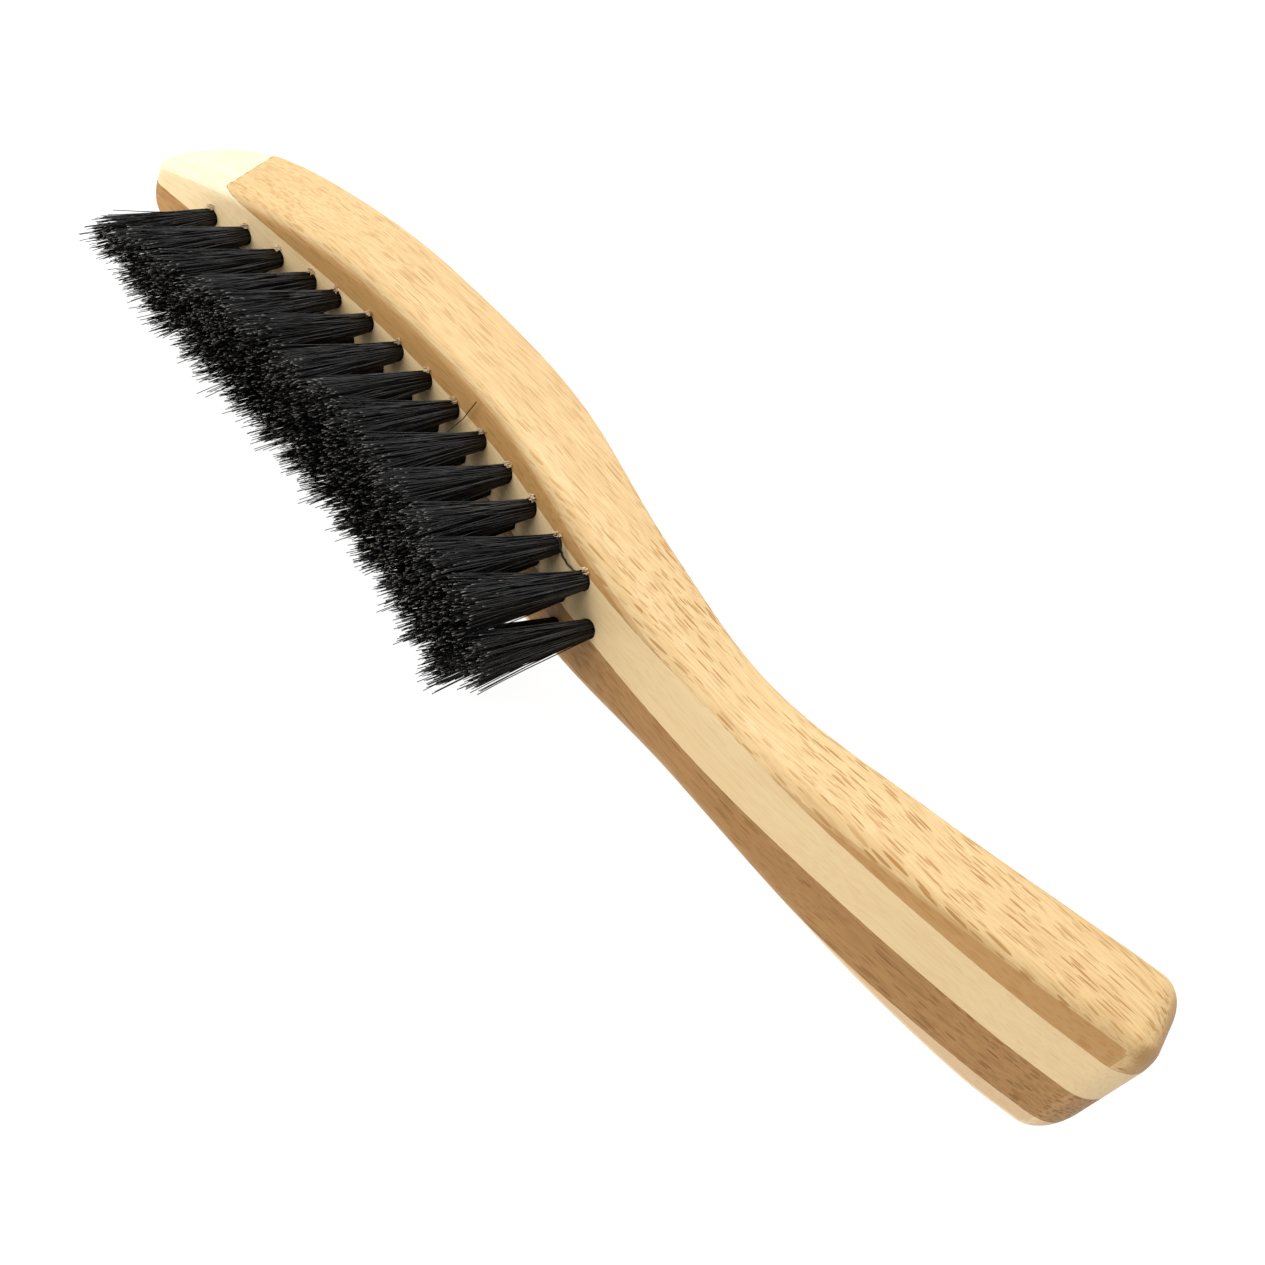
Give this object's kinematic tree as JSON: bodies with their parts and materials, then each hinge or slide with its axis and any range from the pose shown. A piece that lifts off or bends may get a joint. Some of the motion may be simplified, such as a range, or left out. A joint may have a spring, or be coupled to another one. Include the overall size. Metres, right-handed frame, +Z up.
{
  "type": "beard brush",
  "caption": "Curved beard brush cut from a laminated bamboo board, with a waisted grip and rows of black bristle tufts set into the hollow side of the head.",
  "frame": {"origin": "on the surface the brush lies on, under the middle of its bounding box", "axes": "+X runs from the head tip to the handle end, the bristle points to -Y and the curved back faces +Y, +Z is up through the thickness of the board"},
  "size_m": [0.1706, 0.0428, 0.0197],
  "materials": {
    "upper_ply": "caramel bamboo strips seen edge on, fine sanded with a thin clear coat",
    "core_ply": "pale bamboo, fine sanded with a thin clear coat",
    "lower_ply": "brown carbonised bamboo with wavy figure, fine sanded with a thin clear coat",
    "bottom_ply": "pale bamboo, fine sanded with a thin clear coat",
    "bristle": "stiff black bristle with a soft sheen, trimmed at the ends"
  },
  "bodies": {
    "root": {"ply_top": "upper_ply", "ply_core": "core_ply", "ply_lower": "lower_ply", "ply_bottom_head": "bottom_ply", "ply_bottom_handle": "bottom_ply", "tuft_far_01": "bristle", "tuft_far_02": "bristle", "tuft_far_03": "bristle", "tuft_far_04": "bristle", "tuft_far_05": "bristle", "tuft_far_06": "bristle", "tuft_far_07": "bristle", "tuft_far_08": "bristle", "tuft_far_09": "bristle", "tuft_far_10": "bristle", "tuft_far_11": "bristle", "tuft_far_12": "bristle", "tuft_far_13": "bristle", "tuft_middle_02": "bristle", "tuft_middle_03": "bristle", "tuft_middle_04": "bristle", "tuft_middle_05": "bristle", "tuft_middle_06": "bristle", "tuft_middle_07": "bristle", "tuft_middle_08": "bristle", "tuft_middle_09": "bristle", "tuft_middle_10": "bristle", "tuft_middle_11": "bristle", "tuft_middle_12": "bristle", "tuft_middle_13": "bristle", "tuft_near_01": "bristle", "tuft_near_02": "bristle", "tuft_near_03": "bristle", "tuft_near_04": "bristle", "tuft_near_05": "bristle", "tuft_near_06": "bristle", "tuft_near_07": "bristle", "tuft_near_08": "bristle", "tuft_near_09": "bristle", "tuft_near_10": "bristle", "tuft_near_11": "bristle", "tuft_near_12": "bristle", "tuft_near_13": "bristle", "tuft_neck": "bristle", "tuft_tip": "bristle"}
  },
  "joints": []
}
